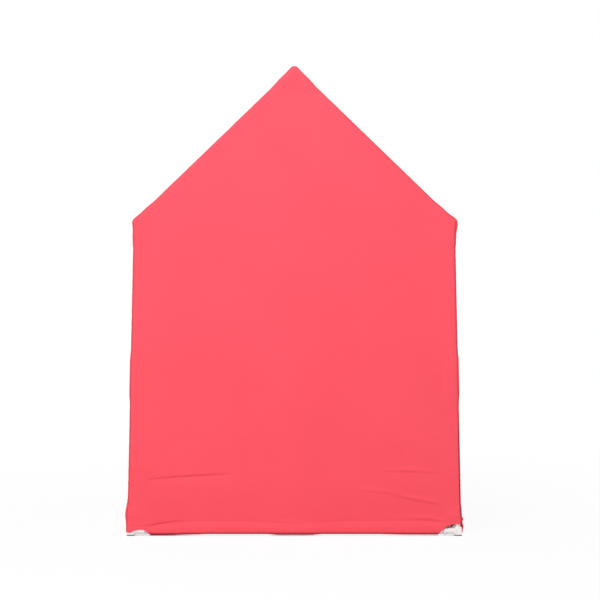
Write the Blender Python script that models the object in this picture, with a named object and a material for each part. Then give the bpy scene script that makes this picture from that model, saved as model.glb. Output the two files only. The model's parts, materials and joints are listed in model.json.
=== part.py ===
"""A house-shaped play tent for children: a frame of push-fit tubes inside a sewn fabric cover.

Metres, +Z up, origin on the floor under the middle of the tent. The plain back gable faces -Y
and the doorway faces +Y. Left and right are -X and +X, as seen by someone facing the back gable.
"""

import math

import bmesh
import bpy
from mathutils import Matrix, Vector

# Whole tent, measured over the cover
overall_height = 1.300
eave_width = 0.895
overall_depth = 1.000
roof_pitch = math.radians(44)
post_splay = 0.018  # each foot stands this much further out than the eave above it

# Fits
socket_gap = 0.0003  # all round a tube in its socket, and at its end
cover_gap = 0.0003  # between the cover and the sleeves it is stretched over
seam_gap = 0.0003  # between two panels where they are sewn together

# Tubes
tube_radius = 0.0080
tube_wall = 0.0014

# Moulded connectors and couplers
socket_wall = 0.0014
collar_rise = 0.0008  # of the thicker collar at a socket's mouth
collar_length = 0.005
socket_depth = 0.025
socket_floor = 0.0062  # plastic between the bottom of a socket and its neighbour's bore
web_reach_share = 0.45  # of a socket's depth, along an arm
web_thickness = 0.0046
foot_bevel = 0.0012  # of a foot corner's square block
coupler_length = 0.078
coupler_stop_length = 0.002
hub_rings = 6
arm_turn_shares = (0.1, 0.6, 0.35)  # of a facet, so that no two arms' edges meet in one point
round_sides = 12
smooth_angle = math.radians(35)  # surfaces that meet at more than this have a sharp edge

# Sewn cover
cloth = 0.0015
hem_lift = 0.0012  # the hem hangs this much above the floor
stitch_height = 0.0225  # the hem's stitching above the axis of the rail inside it
cutout_width = 0.055  # bare stretch of rail at each corner of the hem
cutout_height = 0.018
rim_steps = 3
hem_steps = 9
cutout_steps = 6

# Doorway
door_width = 0.400
door_sill = 0.050
door_side_height = 0.560
door_arch_steps = 8

# Door flaps, which are folded back against the wall
flap_clearance = 0.004  # round a closed flap, and between the two
bead_radius = 0.0015  # rolled seam along which a flap is sewn to the wall
bead_inset = 0.003  # from the edge of the doorway to the seam
bead_steps = 5
flap_start = 0.007  # flat strip of a flap beside its seam
flap_ramp = 0.022
fold_depth = 0.005
fold_count = 3
fold_sharpness = 4
fold_columns = 24
fold_rows = 4
fold_top_share = 0.45  # depth of the folds at the top of a flap

# Press fastener that holds a folded flap to the wall
snap_radius = 0.0055
snap_plate = 0.0008
snap_neck = 0.0018
snap_play = 0.0004
knob_radius = 0.0026
knob_height = 0.0015
snap_sides = 12
snap_fold = 2  # the fastener is in this hollow between the folds

cutter_overrun = 0.004

# Sizes that follow from those above
bore_radius = tube_radius + socket_gap
arm_radius = bore_radius + socket_wall
sleeve_radius = arm_radius + collar_rise
stop_distance = bore_radius + socket_floor
mouth_distance = stop_distance + socket_depth
cover_inner = sleeve_radius + cover_gap
cover_outer = cover_inner + cloth

# Crossings of the frame's axes
base_z = cover_outer + hem_lift
ridge_z = overall_height - cover_outer
eave_x = eave_width / 2 - cover_outer
eave_z = ridge_z - eave_x * math.tan(roof_pitch)
base_x = eave_x + post_splay
frame_y = overall_depth / 2 - cover_outer

# Seam and reach of a door flap
flap_seam_x = door_width / 2 + bead_inset
flap_seam_y = overall_depth / 2 + cover_gap + bead_radius
flap_reach = flap_seam_x - flap_clearance
flap_arch_radius = door_width / 2 - flap_clearance
flap_bottom = door_sill + flap_clearance
fastener_room = 2 * snap_plate + knob_height + 4 * cover_gap
flap_lift = fastener_room + cloth / 2 - cover_gap - bead_radius
door_spring = door_sill + door_side_height

sides = {"left": -1, "right": 1}
ends = {"back": -1, "front": 1}


def foot_point(side, end):
    return Vector((side * base_x, end * frame_y, base_z))


def eave_point(side, end):
    return Vector((side * eave_x, end * frame_y, eave_z))


def ridge_point(end):
    return Vector((0, end * frame_y, ridge_z))


def gable_normal(end):
    return Vector((0, end, 0))


def side_up(side):
    """Direction up a side wall, which leans with its posts."""
    return (eave_point(side, 1) - foot_point(side, 1)).normalized()


def side_normal(side):
    up = side_up(side)
    return Vector((side * up.z, 0, -side * up.x))


def roof_normal(side):
    return Vector((side * math.sin(roof_pitch), 0, math.cos(roof_pitch)))


def clear_scene():
    for thing in list(bpy.data.objects):
        bpy.data.objects.remove(thing)


def make_material(name, colour, roughness):
    material = bpy.data.materials.new(name)
    material.use_nodes = True
    shader = material.node_tree.nodes["Principled BSDF"]
    shader.inputs["Base Color"].default_value = (*colour, 1)
    shader.inputs["Roughness"].default_value = roughness
    shader.inputs["Metallic"].default_value = 0
    return material


def make_object(name, bm, material=None, parent=None):
    """Turns a bmesh into a linked object that is smooth over its shallow edges."""
    mesh = bpy.data.meshes.new(name)
    bm.to_mesh(mesh)
    bm.free()
    mesh.shade_smooth()
    mesh.set_sharp_from_angle(angle=smooth_angle)
    thing = bpy.data.objects.new(name, mesh)
    bpy.context.scene.collection.objects.link(thing)
    if material:
        mesh.materials.append(material)
    thing.parent = parent
    return thing


def make_empty(name, place, parent=None):
    empty = bpy.data.objects.new(name, None)
    bpy.context.scene.collection.objects.link(empty)
    empty.parent = parent
    empty.location = place
    return empty


def aligned(place, direction):
    """Matrix that takes +Z to a direction and turns the same way for the opposite direction."""
    level = abs(direction.y) > max(abs(direction.x), abs(direction.z))
    reference = Vector((1, 0, 0)) if level else Vector((0, 1, 0))
    across = reference.cross(direction).normalized()
    other = direction.cross(across)
    turn = Matrix((across, other, direction)).transposed()
    return Matrix.Translation(place) @ turn.to_4x4()


def turned(profile, steps):
    """Solid of revolution about +Z from a closed profile of (radius, height) points."""
    bm = bmesh.new()
    verts = [bm.verts.new((radius, 0, height)) for radius, height in profile]
    edges = [bm.edges.new(pair) for pair in zip(verts, verts[1:] + verts[:1])]
    bmesh.ops.spin(
        bm,
        geom=verts + edges,
        cent=(0, 0, 0),
        axis=(0, 0, 1),
        angle=math.tau,
        steps=steps,
        use_merge=True,
    )
    bmesh.ops.remove_doubles(bm, verts=bm.verts, dist=socket_gap / 100)
    on_axis = [edge for edge in bm.edges if not edge.link_faces]
    bmesh.ops.delete(bm, geom=on_axis, context="EDGES")
    bmesh.ops.recalc_face_normals(bm, faces=bm.faces)
    return bm


def cylinder(radius, start, end, steps=round_sides):
    return turned([(0, start), (radius, start), (radius, end), (0, end)], steps)


def tool_object(bm, matrix):
    """An object that only shapes another one and isn't a piece itself."""
    bmesh.ops.transform(bm, matrix=matrix, verts=bm.verts)
    thing = make_object("tool", bm)
    thing.hide_render = True
    thing.display_type = "WIRE"
    return thing


def shape(piece, operation, tool):
    """Joins a tool object to a piece, or cuts it out, and keeps only the result."""
    change = piece.modifiers.new(operation.lower(), "BOOLEAN")
    change.operation = operation
    change.solver = "EXACT"
    change.object = tool
    bpy.context.view_layer.update()
    graph = bpy.context.evaluated_depsgraph_get()
    result = bpy.data.meshes.new_from_object(piece.evaluated_get(graph))
    piece.modifiers.clear()
    piece.data = result
    bpy.data.objects.remove(tool)


def tube(name, start, end, material, parent):
    """Open-ended tube between two points."""
    length = (end - start).length
    inner = tube_radius - tube_wall
    profile = [(tube_radius, 0), (tube_radius, length), (inner, length), (inner, 0)]
    piece = make_object(name, turned(profile, round_sides), material, parent)
    piece.matrix_world = aligned(start, (end - start).normalized())
    return piece


def coupler(name, middle, direction, material, parent):
    """Sleeve that joins two tubes, with a ring inside that both of them stop at."""
    half = coupler_length / 2
    ring = coupler_stop_length / 2
    profile = [
        (sleeve_radius, -half),
        (sleeve_radius, half),
        (bore_radius, half),
        (bore_radius, ring),
        (tube_radius - tube_wall, ring),
        (tube_radius - tube_wall, -ring),
        (bore_radius, -ring),
        (bore_radius, -half),
    ]
    piece = make_object(name, turned(profile, round_sides), material, parent)
    piece.matrix_world = aligned(middle, direction)
    return piece


def arm_solid():
    """Socketed arm of a connector along +Z, with a collar at its mouth."""
    profile = [
        (0, 0),
        (arm_radius, 0),
        (arm_radius, mouth_distance - 2 * collar_length),
        (sleeve_radius, mouth_distance - collar_length),
        (sleeve_radius, mouth_distance),
        (0, mouth_distance),
    ]
    return turned(profile, round_sides)


def web_plate(first, second):
    """Triangular stiffening plate in the corner between two arms."""
    reach = stop_distance + web_reach_share * socket_depth
    across = first.cross(second).normalized() * web_thickness / 2
    corners = [Vector(), first * reach, second * reach]
    bm = bmesh.new()
    low = [bm.verts.new(corner - across) for corner in corners]
    high = [bm.verts.new(corner + across) for corner in corners]
    bm.faces.new(low)
    bm.faces.new(high)
    for i in range(3):
        j = (i + 1) % 3
        bm.faces.new((low[i], low[j], high[j], high[i]))
    bmesh.ops.recalc_face_normals(bm, faces=bm.faces)
    return bm


def foot_block():
    """Square block of a foot corner, flat on the floor, about the crossing of the axes."""
    bm = bmesh.new()
    bmesh.ops.create_cube(bm, size=2)
    for vert in bm.verts:
        vert.co.x *= sleeve_radius
        vert.co.y *= sleeve_radius
        vert.co.z *= sleeve_radius if vert.co.z > 0 else base_z
    bmesh.ops.bevel(bm, geom=bm.edges, offset=foot_bevel, segments=1, affect="EDGES")
    return bm


def ball_hub():
    bm = bmesh.new()
    bmesh.ops.create_uvsphere(
        bm, u_segments=round_sides, v_segments=hub_rings, radius=sleeve_radius
    )
    return bm


def connector(name, node, neighbours, hub, material, parent):
    """Moulded corner: a hub, a socketed arm towards each neighbour, and webs between the arms."""
    directions = [(place - node).normalized() for place in neighbours]
    piece = make_object(name, hub, material, parent)
    for share, direction in zip(arm_turn_shares, directions):
        turn = Matrix.Rotation(share * math.tau / round_sides, 4, "Z")
        shape(piece, "UNION", tool_object(arm_solid(), aligned(Vector(), direction) @ turn))
    for i, first in enumerate(directions):
        for second in directions[i + 1:]:
            shape(piece, "UNION", tool_object(web_plate(first, second), Matrix()))
    for direction in directions:
        bore = cylinder(bore_radius, stop_distance, mouth_distance + cutter_overrun)
        shape(piece, "DIFFERENCE", tool_object(bore, aligned(Vector(), direction)))
    piece.location = node
    return piece


def member(names, start, end, plastic, parent, coupler_name=None, coupler_plastic=None):
    """Tube between two sockets, or two tubes that meet in a coupler half way."""
    along = (end - start).normalized()
    first = start + along * (stop_distance + socket_gap)
    last = end - along * (stop_distance + socket_gap)
    if coupler_name is None:
        tube(names[0], first, last, plastic, parent)
        return
    middle = (start + end) / 2
    break_half = along * (coupler_stop_length / 2 + socket_gap)
    tube(names[0], first, middle - break_half, plastic, parent)
    tube(names[1], middle + break_half, last, plastic, parent)
    coupler(coupler_name, middle, along, coupler_plastic, parent)


def make_connectors(white, parent):
    for end_name, end in ends.items():
        feet = {side: foot_point(side, end) for side in sides.values()}
        eaves = {side: eave_point(side, end) for side in sides.values()}
        for side_name, side in sides.items():
            place = f"{side_name}_{end_name}"
            beside_foot = [eaves[side], feet[-side], foot_point(side, -end)]
            beside_eave = [feet[side], ridge_point(end), eave_point(side, -end)]
            connector(f"foot_corner_{place}", feet[side], beside_foot, foot_block(), white, parent)
            connector(f"eave_corner_{place}", eaves[side], beside_eave, ball_hub(), white, parent)
        beside_ridge = [eaves[-1], eaves[1], ridge_point(-end)]
        connector(
            f"ridge_corner_{end_name}", ridge_point(end), beside_ridge, ball_hub(), white, parent
        )


def make_members(tube_white, white, parent):
    for end_name, end in ends.items():
        rail = f"{end_name}_bottom_rail"
        names = [f"{rail}_left", f"{rail}_right"]
        left, right = foot_point(-1, end), foot_point(1, end)
        member(names, left, right, tube_white, parent, f"{rail}_coupler", white)
        for side_name, side in sides.items():
            post = f"{side_name}_{end_name}_post"
            foot, eave = foot_point(side, end), eave_point(side, end)
            names = [f"{post}_lower", f"{post}_upper"]
            member(names, foot, eave, tube_white, parent, f"{post}_coupler", white)
            member([f"{side_name}_{end_name}_rafter"], eave, ridge_point(end), tube_white, parent)
    runs = {"ridge_rail": (ridge_point(-1), ridge_point(1))}
    for side_name, side in sides.items():
        runs[f"{side_name}_bottom_rail"] = (foot_point(side, -1), foot_point(side, 1))
        runs[f"{side_name}_eave_rail"] = (eave_point(side, -1), eave_point(side, 1))
    for rail, (back, front) in runs.items():
        names = [f"{rail}_back", f"{rail}_front"]
        member(names, back, front, tube_white, parent, f"{rail}_coupler", white)


class Sheet:
    """Cloth on the planes through the frame's axes.

    Each point has a place on a plane and the direction in which the cloth is offset from it.
    """

    def __init__(self):
        self.points = []
        self.faces = []
        self.known = {}

    def point(self, place, way):
        key = tuple(round(value / cover_gap, 1) for value in (*place, *(way * cover_outer)))
        if key not in self.known:
            self.known[key] = len(self.points)
            self.points.append((place.copy(), way.copy()))
        return self.known[key]

    def face(self, *corners):
        """Adds a face, leaving out a corner that falls on the one before it."""
        kept = [corner for i, corner in enumerate(corners) if corner != corners[i - 1]]
        if len(kept) > 2:
            self.faces.append(kept)

    def solid(self):
        """Closed body between the two faces of the cloth, walled along its free edges."""
        bm = bmesh.new()
        outside = [bm.verts.new(place + way * cover_outer) for place, way in self.points]
        inside = [bm.verts.new(place + way * cover_inner) for place, way in self.points]
        uses = {}
        for face in self.faces:
            bm.faces.new([outside[i] for i in face])
            bm.faces.new([inside[i] for i in face])
            for pair in zip(face, face[1:] + face[:1]):
                uses.setdefault(frozenset(pair), []).append(pair)
        for pairs in uses.values():
            if len(pairs) == 1:
                a, b = pairs[0]
                bm.faces.new((outside[a], outside[b], inside[b], inside[a]))
        bmesh.ops.recalc_face_normals(bm, faces=bm.faces)
        return bm


def between(first, second, share):
    return (first * (1 - share) + second * share).normalized()


def seam_direction(face, neighbours):
    """Direction equally far from the normals that meet at a seam, less half the seam's gap."""
    if len(neighbours) == 1:
        middle = (face + neighbours[0]).normalized()
    else:
        normals = Matrix((face, *neighbours))
        middle = (normals.inverted() @ Vector((1, 1, 1))).normalized()
    for neighbour in neighbours:
        middle += (face - neighbour).normalized() * seam_gap / 2 / cover_outer
    return middle.normalized()


def add_corner(sheet, place, face, before, after):
    """Patch of a ball at a corner of the frame, between the seams before and after it."""
    first = seam_direction(face, [before])
    second = seam_direction(face, [after])
    corner = seam_direction(face, [before, after])
    shares = [step / rim_steps for step in range(rim_steps + 1)]
    grid = []
    for s in shares:
        row = []
        for t in shares:
            level = face * (1 - t) + second * t
            raised = first * (1 - t) + corner * t
            row.append(sheet.point(place, between(level, raised, s)))
        grid.append(row)
    for low, high in zip(grid, grid[1:]):
        for i in range(rim_steps):
            sheet.face(low[i], low[i + 1], high[i + 1], high[i])


def add_rims(sheet, outline, face, neighbours):
    """Curls the edges of a flat panel round the frame, as far as the seams.

    neighbours holds, for the edge that starts at each corner of the outline, the normal of the
    panel that is sewn to it, or None where the edge is free.
    """
    for i, neighbour in enumerate(neighbours):
        if neighbour is None:
            continue
        here, there = outline[i], outline[(i + 1) % len(outline)]
        seam = seam_direction(face, [neighbour])
        arc = [between(face, seam, step / rim_steps) for step in range(rim_steps + 1)]
        for low, high in zip(arc, arc[1:]):
            sheet.face(
                sheet.point(here, low),
                sheet.point(here, high),
                sheet.point(there, high),
                sheet.point(there, low),
            )
        before = neighbours[i - 1]
        if before is not None:
            add_corner(sheet, here, face, before, neighbour)


def add_hem(sheet, stations, face, up):
    """Wraps the bottom of a wall round the rail inside it and back up to the stitching.

    The cloth follows the rail's round, then runs straight to the stitch line along the tangent
    from that line to the round.
    """
    stitch_out = cover_inner - cover_gap - cloth
    reach = math.hypot(stitch_out, stitch_height)
    wrap = math.tau - math.atan2(stitch_height, stitch_out) - math.acos(cover_outer / reach)
    path = []
    for step in range(hem_steps + 1):
        angle = wrap * step / hem_steps
        path.append((Vector(), face * math.cos(angle) - up * math.sin(angle)))
    last = path[-1][1]
    path.append((face * stitch_out + up * stitch_height - last * cover_outer, last))
    rows = [[sheet.point(place + shift, way) for place in stations] for shift, way in path]
    for upper, lower in zip(rows, rows[1:]):
        for i in range(len(stations) - 1):
            sheet.face(upper[i + 1], upper[i], lower[i], lower[i + 1])


def cutout_curve(corner, along, up):
    """Free edge of a wall at a foot: half a parabola from the hem up to the post."""
    curve = []
    for step in range(cutout_steps + 1):
        share = 1 - step / cutout_steps
        rise = cutout_height * (1 - share ** 2)
        curve.append(corner + along * cutout_width * share + up * rise / up.z)
    return curve


def gable_sheet(end, opening):
    """Gable wall, in two halves that meet above and below the doorway where it has one.

    opening runs down the right half of the doorway's edge, from its top to its sill.
    """
    face = gable_normal(end)
    sheet = Sheet()
    curves = {}
    hem = {}
    for side in sides.values():
        foot, eave = foot_point(side, end), eave_point(side, end)
        along = Vector((-side, 0, 0))
        curves[side] = cutout_curve(foot, along, (eave - foot).normalized())
        hem[side] = curves[side][0]
    middle = (hem[-1] + hem[1]) / 2
    for side in sides.values():
        mirrored = [Vector((side * place.x, place.y, place.z)) for place in opening]
        loop = [middle, *curves[side], eave_point(side, end), ridge_point(end), *mirrored]
        sheet.face(*[sheet.point(place, face) for place in loop])
    add_hem(sheet, [hem[-1], middle, hem[1]], face, Vector((0, 0, 1)))
    outline = [curves[1][-1], eave_point(1, end), ridge_point(end), eave_point(-1, end)]
    outline.append(curves[-1][-1])
    sewn = [side_normal(1), roof_normal(1), roof_normal(-1), side_normal(-1), None]
    add_rims(sheet, outline, face, sewn)
    return sheet


def door_edge():
    """Right half of the doorway's edge, from the top of its arch down to the middle of the sill."""
    edge = []
    for step in range(door_arch_steps + 1):
        angle = math.pi / 2 * (1 - step / door_arch_steps)
        across = door_width / 2 * math.cos(angle)
        rise = door_width / 2 * math.sin(angle)
        edge.append(Vector((across, frame_y, door_spring + rise)))
    edge[0].x = 0
    edge.append(Vector((door_width / 2, frame_y, door_sill)))
    edge.append(Vector((0, frame_y, door_sill)))
    return edge


def side_sheet(side):
    face, up = side_normal(side), side_up(side)
    sheet = Sheet()
    back = cutout_curve(foot_point(side, -1), Vector((0, 1, 0)), up)
    front = cutout_curve(foot_point(side, 1), Vector((0, -1, 0)), up)
    eaves = [eave_point(side, 1), eave_point(side, -1)]
    loop = [*front, *eaves, *reversed(back)]
    sheet.face(*[sheet.point(place, face) for place in loop])
    add_hem(sheet, [back[0], front[0]], face, up)
    outline = [front[-1], *eaves, back[-1]]
    sewn = [gable_normal(1), roof_normal(side), gable_normal(-1), None]
    add_rims(sheet, outline, face, sewn)
    return sheet


def roof_sheet(side):
    face = roof_normal(side)
    outline = [eave_point(side, -1), eave_point(side, 1), ridge_point(1), ridge_point(-1)]
    sheet = Sheet()
    sheet.face(*[sheet.point(place, face) for place in outline])
    sewn = [side_normal(side), gable_normal(1), roof_normal(-side), gable_normal(-1)]
    add_rims(sheet, outline, face, sewn)
    return sheet


def make_cover(coral, parent):
    panels = {
        "back_gable": gable_sheet(-1, []),
        "front_gable": gable_sheet(1, door_edge()),
    }
    for side_name, side in sides.items():
        panels[f"{side_name}_wall"] = side_sheet(side)
        panels[f"{side_name}_roof"] = roof_sheet(side)
    return {
        name: make_object(name, sheet.solid(), coral, parent) for name, sheet in panels.items()
    }


def smooth_share(value):
    """Rises from 0 to 1 with level ends."""
    share = min(max(value, 0), 1)
    return share * share * (3 - 2 * share)


def flap_offset(distance, share):
    """How far a flap stands off the plane of its seam, at a share of its height."""
    lift = flap_lift * smooth_share((distance - flap_start) / flap_ramp)
    depth = fold_depth * (1 - (1 - fold_top_share) * share)
    return lift + depth * math.sin(math.pi * fold_count * distance / flap_reach) ** fold_sharpness


def flap_top(distance):
    """Height of a flap's upper edge, which follows the doorway's arch."""
    across = flap_seam_x - distance
    return door_spring + math.sqrt(max(flap_arch_radius ** 2 - across ** 2, 0))


def flap_solid(side):
    """Door flap about its seam, as rows of the same ring of points from the sill to the arch.

    A ring goes round the rolled seam, out along one face of the cloth and back along the other.
    """
    half = cloth / 2
    turn = math.asin(half / bead_radius)
    columns = [flap_reach * step / fold_columns for step in range(1, fold_columns + 1)]
    bm = bmesh.new()
    rows = []
    for row in range(fold_rows + 1):
        share = row / fold_rows
        ring = []
        for step in range(bead_steps + 1):
            angle = turn + (math.tau - 2 * turn) * step / bead_steps
            height = flap_bottom + (door_spring - flap_bottom) * share
            x, y = bead_radius * math.cos(angle), bead_radius * math.sin(angle)
            ring.append(bm.verts.new((side * x, y, height - door_sill)))
        faces = {}
        for skin in (-1, 1):
            faces[skin] = []
            for distance in columns:
                height = flap_bottom + (flap_top(distance) - flap_bottom) * share
                y = flap_offset(distance, share) + skin * half
                faces[skin].append(bm.verts.new((side * distance, y, height - door_sill)))
        rows.append(ring + faces[-1] + faces[1][::-1])
    count = len(rows[0])
    for low, high in zip(rows, rows[1:]):
        for i in range(count):
            j = (i + 1) % count
            bm.faces.new((low[i], low[j], high[j], high[i]))
    first, last = bead_steps, bead_steps + 1
    for ring in (rows[0], rows[-1]):
        bm.faces.new(ring[:bead_steps + 1])
        bm.faces.new((ring[0], ring[first], ring[last], ring[-1]))
        for i in range(fold_columns - 1):
            a, b = last + i, count - 1 - i
            bm.faces.new((ring[a], ring[a + 1], ring[b - 1], ring[b]))
    bmesh.ops.recalc_face_normals(bm, faces=bm.faces)
    return bm


def stud_solid():
    """Half of the press fastener on the wall, riveted through it, with +Z towards the flap."""
    back = -cloth - 2 * cover_gap - snap_plate
    top = snap_plate
    waist = knob_radius - snap_play
    profile = [
        (0, back),
        (snap_radius, back),
        (snap_radius, back + snap_plate),
        (snap_neck, back + snap_plate),
        (snap_neck, 0),
        (snap_radius, 0),
        (snap_radius, top),
        (waist, top),
        (knob_radius, top + knob_height * 2 / 3),
        (waist, top + knob_height),
        (0, top + knob_height),
    ]
    return turned(profile, snap_sides)


def socket_solid():
    """Half of the press fastener on the flap, riveted through it, with +Z away from the wall."""
    recess = knob_radius + snap_play
    depth = knob_height + cover_gap
    inner = depth + snap_plate
    outer = inner + cloth + 2 * cover_gap
    profile = [
        (0, depth),
        (recess, depth),
        (recess, 0),
        (snap_radius, 0),
        (snap_radius, inner),
        (snap_neck, inner),
        (snap_neck, outer),
        (snap_radius, outer),
        (snap_radius - snap_plate / 2, outer + snap_plate),
        (0, outer + snap_plate),
    ]
    return turned(profile, snap_sides)


def make_door(panels, coral, snap, parent):
    """Two flaps sewn to the doorway's sides, each with a press fastener that holds it open."""
    neck_hole = snap_neck + cover_gap
    distance = flap_reach * snap_fold / fold_count
    height = (door_sill + door_spring) / 2
    outward = Vector((0, 1, 0))
    stud_y = overall_depth / 2 + cover_gap
    socket_y = stud_y + snap_plate + cover_gap
    for side_name, side in sides.items():
        hinge_place = Vector((side * flap_seam_x, flap_seam_y, door_sill))
        hinge = make_empty(f"{side_name}_door_hinge", hinge_place, parent)
        x = side * (flap_seam_x + distance)
        stud_place = Vector((x, stud_y, height))
        stud = make_object(f"{side_name}_door_stud", stud_solid(), snap, parent)
        stud.matrix_world = aligned(stud_place, outward)
        hole = cylinder(neck_hole, -cutter_overrun, cutter_overrun)
        shape(panels["front_gable"], "DIFFERENCE", tool_object(hole, aligned(stud_place, outward)))
        flap = make_object(f"{side_name}_door_flap", flap_solid(side), coral, hinge)
        flap_place = Vector((x, flap_seam_y + flap_lift, height))
        hole = cylinder(neck_hole, -cutter_overrun, cutter_overrun)
        shape(flap, "DIFFERENCE", tool_object(hole, aligned(flap_place, outward)))
        socket = make_object(f"{side_name}_door_socket", socket_solid(), snap, hinge)
        socket_place = Vector((x, socket_y, height)) - hinge_place
        socket.matrix_local = aligned(socket_place, outward)


def build():
    clear_scene()
    white = make_material("white_moulding", (0.86, 0.85, 0.85), 0.40)
    tube_white = make_material("white_tube", (0.80, 0.80, 0.80), 0.35)
    coral = make_material("coral_cloth", (0.90, 0.10, 0.14), 0.85)
    snap = make_material("coral_fastener", (0.80, 0.08, 0.12), 0.35)
    tent = make_empty("tent", (0, 0, 0))
    make_connectors(white, tent)
    make_members(tube_white, white, tent)
    panels = make_cover(coral, tent)
    make_door(panels, coral, snap, tent)


build()
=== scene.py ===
"""The dressed play tent: stretched and hemmed cloth, moulded corners, tubes and door flaps.

Metres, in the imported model's frame: +Z up, the plain back gable towards -Y, the doorway towards +Y.
"""

import json
import math

import bmesh
import bpy
import numpy as np
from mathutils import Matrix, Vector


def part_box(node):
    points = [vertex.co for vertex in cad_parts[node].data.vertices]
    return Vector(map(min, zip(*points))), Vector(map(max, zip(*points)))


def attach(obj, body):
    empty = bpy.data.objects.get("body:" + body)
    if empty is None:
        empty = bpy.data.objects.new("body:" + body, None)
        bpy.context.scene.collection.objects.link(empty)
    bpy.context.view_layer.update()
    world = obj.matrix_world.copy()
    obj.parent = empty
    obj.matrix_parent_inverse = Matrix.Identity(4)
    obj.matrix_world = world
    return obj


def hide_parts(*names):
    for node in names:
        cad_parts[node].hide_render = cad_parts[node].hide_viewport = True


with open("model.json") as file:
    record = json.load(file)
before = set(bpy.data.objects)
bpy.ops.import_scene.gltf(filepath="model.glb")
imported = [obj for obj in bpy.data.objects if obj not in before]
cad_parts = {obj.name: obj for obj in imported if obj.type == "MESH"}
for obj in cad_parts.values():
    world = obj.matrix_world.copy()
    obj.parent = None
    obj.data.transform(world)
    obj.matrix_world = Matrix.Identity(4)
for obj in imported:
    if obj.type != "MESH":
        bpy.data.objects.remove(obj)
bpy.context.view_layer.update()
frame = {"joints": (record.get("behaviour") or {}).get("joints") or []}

# The frame's crossings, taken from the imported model


def middle_of(node):
    return np.mean(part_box(node), axis=0)


ridge_z = middle_of("ridge_rail_coupler")[2]
eave_x, _, eave_z = middle_of("right_eave_rail_coupler")
base_x, _, base_z = middle_of("right_bottom_rail_coupler")
frame_y = middle_of("front_bottom_rail_coupler")[1]

# Tubes and moulded pieces: radii, and distances along a member from its crossing
tube_radius = 0.0080
tube_bore = 0.0066
bore_radius = 0.0083
arm_radius = 0.0097
sleeve_radius = 0.0105
stop_distance = 0.0145
mouth_distance = 0.0395
collar_length = 0.009
web_reach = 0.0258
web_half = 0.0023
coupler_half = 0.039
coupler_stop = 0.0010
tube_end_gap = 0.0003
turned_edge = 0.0004
grid_step = 0.0010

# Cloth
cloth = 0.0012
over_tube = 0.0100  # from a tube's axis to the outer face of the cloth pulled over it
over_sleeve = 0.0123
seam_sink = 0.0005  # the most that a seam or its gathers lie below that face
hem_tight = 0.0006  # the same for a hem that is tight under its rail
seam_half_gap = 0.00004
hem_gap = 0.0002
gather_height = 0.00062
gather_reach = 0.011
groove_depth = 0.0012
groove_width = 0.0016
slack_reach = 0.055  # from a seam or a rail to where the cloth has all its slack
rim_shares = np.array([0, 0.14, 0.28, 0.42, 0.55, 0.67, 0.77, 0.85, 0.91, 0.96, 1])
fan_steps = 12
seam_allowance = 0.02
hem_allowance = 0.09
hem_stitch_ends = 0.048
door_stitch_inset = 0.0080

# Doorway, in metres across and above the floor
door_half = 0.200
door_sill = 0.050
door_spring = 0.610
door_edge_roll = 0.0013
door_middle = door_spring - base_z - 0.10

sides = {"left": -1, "right": 1}
ends = {"back": -1, "front": 1}
foot = {(s, e): np.array([s * base_x, e * frame_y, base_z]) for s in (-1, 1) for e in (-1, 1)}
eave = {(s, e): np.array([s * eave_x, e * frame_y, eave_z]) for s in (-1, 1) for e in (-1, 1)}
ridge = {e: np.array([0.0, e * frame_y, ridge_z]) for e in (-1, 1)}
wall_height = np.linalg.norm(eave[1, 1] - foot[1, 1])
roof_length = np.linalg.norm(ridge[1] - eave[1, 1])
side_up = {s: (eave[s, 1] - foot[s, 1]) / wall_height for s in (-1, 1)}
side_out = {s: np.array([s * side_up[s][2], 0, -s * side_up[s][0]]) for s in (-1, 1)}
roof_up = {s: (ridge[1] - eave[s, 1]) / roof_length for s in (-1, 1)}
roof_out = {s: np.array([s * roof_up[s][2], 0, -s * roof_up[s][0]]) for s in (-1, 1)}
end_out = {e: np.array([0.0, e, 0.0]) for e in (-1, 1)}

# Members of the frame: both ends, and what its halves are called if it has two. Connectors:
# their crossing and the crossings that their arms point at.
members = {"ridge_rail": (ridge[-1], ridge[1], ("back", "front"))}
corners = {}
for end_name, e in ends.items():
    members[f"{end_name}_bottom_rail"] = (foot[-1, e], foot[1, e], ("left", "right"))
    for side_name, s in sides.items():
        members[f"{side_name}_{end_name}_post"] = (foot[s, e], eave[s, e], ("lower", "upper"))
        members[f"{side_name}_{end_name}_rafter"] = (eave[s, e], ridge[e], ())
        place = f"{side_name}_{end_name}"
        corners[f"foot_corner_{place}"] = (foot[s, e], [eave[s, e], foot[-s, e], foot[s, -e]])
        corners[f"eave_corner_{place}"] = (eave[s, e], [foot[s, e], ridge[e], eave[s, -e]])
    corners[f"ridge_corner_{end_name}"] = (ridge[e], [eave[-1, e], eave[1, e], ridge[-e]])
for side_name, s in sides.items():
    members[f"{side_name}_bottom_rail"] = (foot[s, -1], foot[s, 1], ("back", "front"))
    members[f"{side_name}_eave_rail"] = (eave[s, -1], eave[s, 1], ("back", "front"))


def unit(vectors):
    vectors = np.asarray(vectors, float)
    return vectors / np.linalg.norm(vectors, axis=-1, keepdims=True)


def pair(first, second):
    """Points in a plane from two coordinates, which are spread to one shape."""
    return np.stack(np.broadcast_arrays(first, second), axis=-1)


def smooth(share):
    """Rises from 0 to 1 with level ends: three squares of the share less two cubes."""
    share = np.clip(share, 0, 1)
    return share * share * (3 - 2 * share)


def bell(value):
    """1 at 0, falling to both sides as the exponential of minus the square."""
    return np.exp(-np.square(value))


def off_line(places, start, end):
    """Each place less the nearest point of the straight stretch between two points."""
    along = end - start
    share = np.clip((places - start) @ along / (along @ along), 0, 1)
    return places - start - share[..., None] * along


def length_of(vectors):
    return np.linalg.norm(vectors, axis=-1)


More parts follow.
